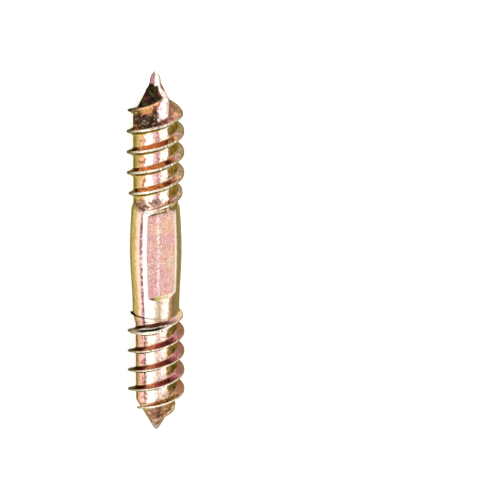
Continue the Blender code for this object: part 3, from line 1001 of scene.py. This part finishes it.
def zinc_material():
    """Steel with a yellow zinc plating."""
    material = bpy.data.materials.new("yellow_zinc_steel")
    material.use_nodes = True
    tree = material.node_tree
    shader = tree.nodes["Principled BSDF"]
    shader.inputs["Metallic"].default_value = 1.0
    shader.inputs["Specular Tint"].default_value = linear(*SPECULAR_TINT)
    place = add(tree, "ShaderNodeTexCoord").outputs["Object"]
    tree.links.new(zinc_color(tree, place), shader.inputs["Base Color"])

    polish = stretch(tree, noise(tree, place, POLISH), 0.0, 1.0, *ROUGHNESS)
    flat_extra = times(tree, layer(tree, "flat"), FLAT_EXTRA_ROUGHNESS)
    tree.links.new(math_node(tree, "ADD", polish, flat_extra), shader.inputs["Roughness"])

    dents = times(tree, noise(tree, place, DENTS), DENT_HEIGHT)
    relief = math_node(tree, "ADD", noise(tree, place, GRAIN), dents)
    bump = add(tree, "ShaderNodeBump", Strength=BUMP_STRENGTH, Distance=BUMP_DISTANCE)
    tree.links.new(relief, bump.inputs["Height"])
    tree.links.new(bump.outputs["Normal"], shader.inputs["Normal"])
    return material


# Floor, in metres, and studio. The studio is brighter overhead and dimmer past the top tip: each
# of its lines has a range of a direction's upward or lengthwise part, and the values there.
WHITE = (1.0, 1.0, 1.0, 1.0)
FLOOR_HALF_WIDTH = 3.0
FLOOR_SHADE = (0.86, 0.86, 0.86, 1.0)
FLOOR_GLOW = 0.5
STUDIO_BRIGHTNESS = (0.0, 0.9, 0.55, 0.72)
DIMMING_ALONG = (-0.1, 0.45, 0.0, 0.25)
DIMMING_ABOVE = (0.3, 0.55, 0.0, 1.0)

# Softboxes: name, angle round the screw from straight above, tilt towards its top end, width
# and length, and radiance
SOFTBOX_DISTANCE = 0.45
SOFTBOXES = (
    ("left_softbox", -53, -18, (0.28, 0.5), 2.2),
    ("right_softbox", 27, -18, (0.16, 0.5), 2.2),
    ("tip_softbox", 43, 36, (0.42, 0.16), 2.2),
    ("end_softbox", -19, 74, (0.2, 0.08), 2.0),
)

# Camera: round the screw's axis from straight above, tilted towards its top end
VIEW_TILT = math.radians(17.99)
VIEW_ROLL = 0.005
CAMERA_AT = (0.0125, -0.4848, 0.15787)
LENS = 276.5
SENSOR = 36.0
CLIP_START = 0.01


def floor_material():
    """White for the camera and in reflections, so that the floor reads as the background."""
    material = bpy.data.materials.new("floor")
    material.use_nodes = True
    tree = material.node_tree
    shader = tree.nodes["Principled BSDF"]
    shader.inputs["Base Color"].default_value = FLOOR_SHADE
    shader.inputs["Roughness"].default_value = 1.0
    shader.inputs["Specular IOR Level"].default_value = 0.0
    shader.inputs["Emission Color"].default_value = WHITE
    rays = add(tree, "ShaderNodeLightPath")
    seen = math_node(tree, "ADD", rays.outputs["Is Camera Ray"], rays.outputs["Is Glossy Ray"])
    seen = math_node(tree, "ADD", seen, rays.outputs["Is Transmission Ray"], clamp=True)
    tree.links.new(times(tree, seen, FLOOR_GLOW), shader.inputs["Emission Strength"])
    return material


def add_floor(height):
    """A level floor at a height."""
    half = FLOOR_HALF_WIDTH
    corners = [(-half, -half), (half, -half), (half, half), (-half, half)]
    mesh = bpy.data.meshes.new("floor")
    mesh.from_pydata([(x, y, height) for x, y in corners], [], [(0, 1, 2, 3)])
    mesh.materials.append(floor_material())
    floor = bpy.data.objects.new("floor", mesh)
    bpy.context.scene.collection.objects.link(floor)


def add_softbox(name, turn, tilt, size, radiance):
    """A softbox that faces the screw, at an angle round it from straight above and along it."""
    turn, tilt = math.radians(turn), math.radians(tilt)
    away = Vector((
        math.cos(tilt) * math.sin(turn), math.sin(tilt), math.cos(tilt) * math.cos(turn),
    ))
    data = bpy.data.lights.new(name, "AREA")
    data.shape = "RECTANGLE"
    data.size, data.size_y = size
    data.energy = radiance * math.pi * size[0] * size[1]
    lamp = bpy.data.objects.new(name, data)
    across = Vector((0, 1, 0)).cross(away).normalized()
    up = away.cross(across)
    turn_matrix = Matrix((across, up, away)).transposed().to_4x4()
    lamp.matrix_world = Matrix.Translation(away * SOFTBOX_DISTANCE) @ turn_matrix
    bpy.context.scene.collection.objects.link(lamp)


def set_world():
    """The studio's own light, which the screw reflects."""
    world = bpy.data.worlds.new("studio")
    bpy.context.scene.world = world
    world.use_nodes = True
    tree = world.node_tree
    background = tree.nodes["Background"]
    background.inputs["Color"].default_value = WHITE
    parts = add(tree, "ShaderNodeSeparateXYZ")
    tree.links.new(add(tree, "ShaderNodeTexCoord").outputs["Generated"], parts.inputs["Vector"])
    brightness = stretch(tree, parts.outputs["Z"], *STUDIO_BRIGHTNESS)
    dimming = times(
        tree, stretch(tree, parts.outputs["Y"], *DIMMING_ALONG),
        stretch(tree, parts.outputs["Z"], *DIMMING_ABOVE),
    )
    level = times(tree, brightness, rest_of(tree, dimming))
    tree.links.new(level, background.inputs["Strength"])


def from_upright(x, y, z):
    """A direction before the camera, with the screw upright, turned into the laid frame."""
    turned_x = x * math.cos(VIEW_TURN) + y * math.sin(VIEW_TURN)
    turned_y = y * math.cos(VIEW_TURN) - x * math.sin(VIEW_TURN)
    return Vector((turned_x, z, -turned_y))


def add_camera():
    """A camera from the photo's side, with a long lens."""
    data = bpy.data.cameras.new("camera")
    data.lens = LENS
    data.sensor_width = SENSOR
    data.clip_start = CLIP_START
    camera = bpy.data.objects.new("camera", data)
    level = from_upright(1, 0, 0)
    upward = from_upright(0, math.sin(VIEW_TILT), math.cos(VIEW_TILT))
    right = level * math.cos(VIEW_ROLL) + upward * math.sin(VIEW_ROLL)
    up = upward * math.cos(VIEW_ROLL) - level * math.sin(VIEW_ROLL)
    back = -from_upright(0, math.cos(VIEW_TILT), -math.sin(VIEW_TILT))
    turn = Matrix((right, up, back)).transposed().to_4x4()
    place = from_upright(*CAMERA_AT) + Vector((0, 0, AXIS_HEIGHT))
    camera.matrix_world = Matrix.Translation(place) @ turn
    bpy.context.scene.collection.objects.link(camera)
    bpy.context.scene.camera = camera


material = zinc_material()
screw = bpy.data.objects.new("screw_skin", skin_mesh())
fin = bpy.data.objects.new("fin", fin_mesh())
for piece in (screw, fin):
    piece.data.materials.append(material)
    bpy.context.scene.collection.objects.link(piece)
    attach(piece, "root")
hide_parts("dowel_screw")

add_floor(min(vertex.co.z for vertex in screw.data.vertices))
for softbox in SOFTBOXES:
    add_softbox(*softbox)
set_world()
add_camera()
bpy.context.scene.view_settings.view_transform = "Standard"
